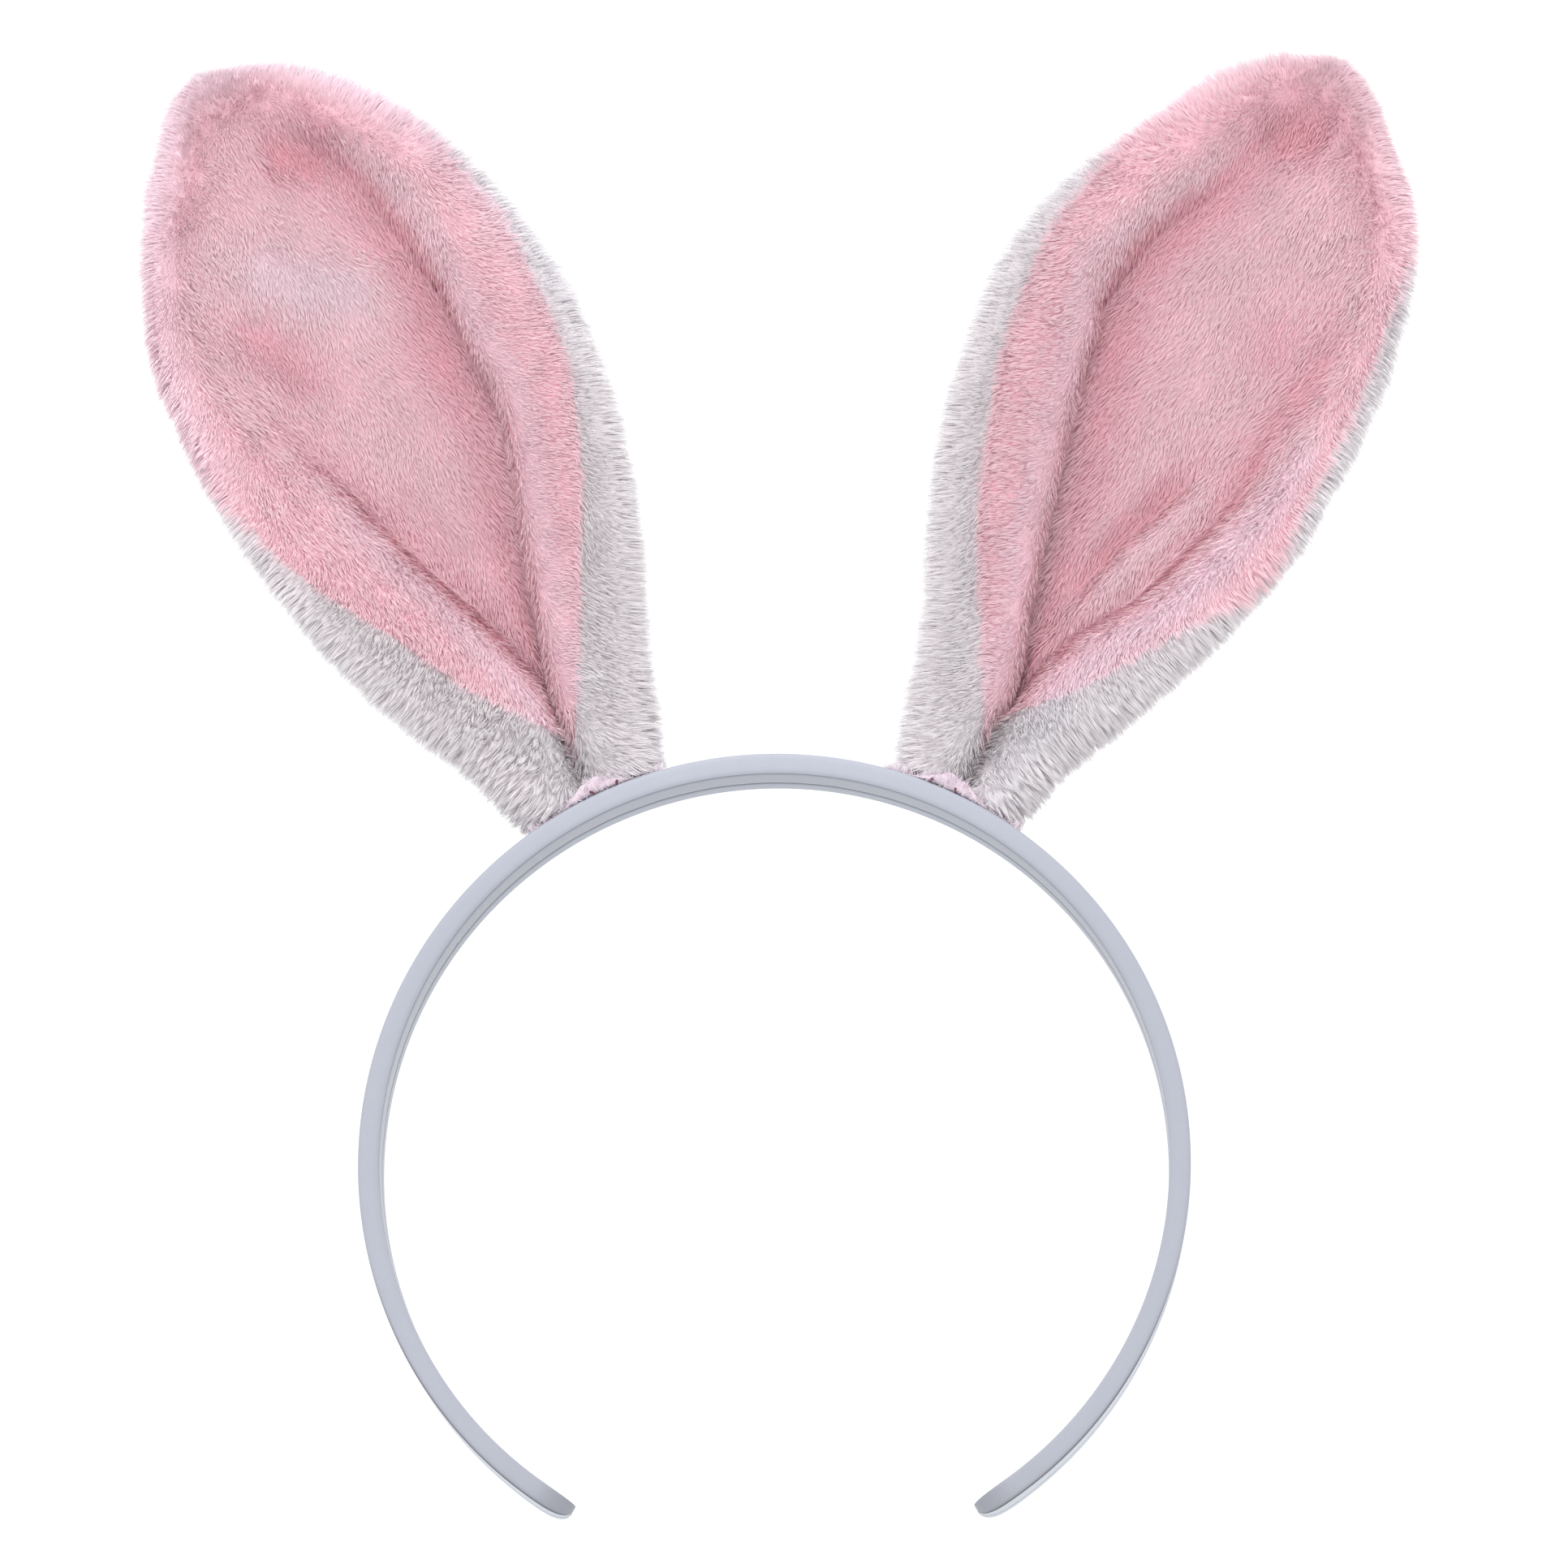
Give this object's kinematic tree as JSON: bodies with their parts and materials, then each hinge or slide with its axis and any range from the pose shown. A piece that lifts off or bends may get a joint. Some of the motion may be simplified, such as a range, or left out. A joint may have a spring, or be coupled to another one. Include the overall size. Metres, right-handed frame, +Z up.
{
  "type": "animal ears headband",
  "caption": "Narrow satin-covered springy hoop with tall cupped plush ears, pink inside and white outside, that bend on hidden wire.",
  "frame": {"origin": "centre of the head opening, which is the centre of the hoop's arc, midway through the hoop's width", "axes": "+Z up through the middle of the crown, -Y the way the ears' pink fronts face, and +X to the right as seen from the front; left and right in the names are as seen from the front"},
  "size_m": [0.2036, 0.022, 0.2363],
  "materials": {
    "hoop_plastic": "moulded white",
    "satin": "smooth white satin",
    "white_plush": "short soft pile",
    "pink_plush": "short soft pile",
    "wadding": "soft polyester wadding",
    "wire": "bare soft wire",
    "backing_knit": "knitted plush backing",
    "thread": "sewing thread"
  },
  "bodies": {
    "crown": {"crown_core": "hoop_plastic", "crown_cover": "satin", "crown_edging": "satin", "left_ear_seam_allowance": "backing_knit", "left_ear_stitches": "thread", "right_ear_seam_allowance": "backing_knit", "right_ear_stitches": "thread"},
    "left_arm": {"left_arm_core": "hoop_plastic", "left_arm_cover": "satin", "left_arm_edging": "satin"},
    "right_arm": {"right_arm_core": "hoop_plastic", "right_arm_cover": "satin", "right_arm_edging": "satin"},
    "left_ear_lower": {"left_ear_back_panel_lower": "white_plush", "left_ear_front_panel_lower": "pink_plush", "left_ear_wadding_lower": "wadding", "left_ear_wire_lower": "wire", "left_ear_gather_thread": "thread"},
    "left_ear_upper": {"left_ear_back_panel_upper": "white_plush", "left_ear_front_panel_upper": "pink_plush", "left_ear_wadding_upper": "wadding", "left_ear_wire_upper": "wire"},
    "right_ear_lower": {"right_ear_back_panel_lower": "white_plush", "right_ear_front_panel_lower": "pink_plush", "right_ear_wadding_lower": "wadding", "right_ear_wire_lower": "wire", "right_ear_gather_thread": "thread"},
    "right_ear_upper": {"right_ear_back_panel_upper": "white_plush", "right_ear_front_panel_upper": "pink_plush", "right_ear_wadding_upper": "wadding", "right_ear_wire_upper": "wire"}
  },
  "joints": [
    {"name": "left_arm_flex", "type": "hinge", "parent": "crown", "child": "left_arm", "pos_m": [-0.04857, 0, 0.04075], "axis": [0, 1, 0], "range_deg": [-6, 18], "stiffness_Nm_per_rad": 1.2},
    {"name": "right_arm_flex", "type": "hinge", "parent": "crown", "child": "right_arm", "pos_m": [0.04857, 0, 0.04075], "axis": [0, -1, 0], "range_deg": [-6, 18], "stiffness_Nm_per_rad": 1.2},
    {"name": "left_ear_tilt", "type": "hinge", "parent": "crown", "child": "left_ear_lower", "pos_m": [-0.03212, 0.0006, 0.06644], "axis": [0.9003, 0, 0.4352], "range_deg": [-35, 35]},
    {"name": "left_ear_fold", "type": "hinge", "parent": "left_ear_lower", "child": "left_ear_upper", "pos_m": [-0.06224, -0.0035, 0.12875], "axis": [0.9003, 0, 0.4352], "range_deg": [-25, 75]},
    {"name": "right_ear_tilt", "type": "hinge", "parent": "crown", "child": "right_ear_lower", "pos_m": [0.03212, 0.0006, 0.06644], "axis": [0.9003, 0, -0.4352], "range_deg": [-35, 35]},
    {"name": "right_ear_fold", "type": "hinge", "parent": "right_ear_lower", "child": "right_ear_upper", "pos_m": [0.06224, -0.0035, 0.12875], "axis": [0.9003, 0, -0.4352], "range_deg": [-25, 75]}
  ]
}
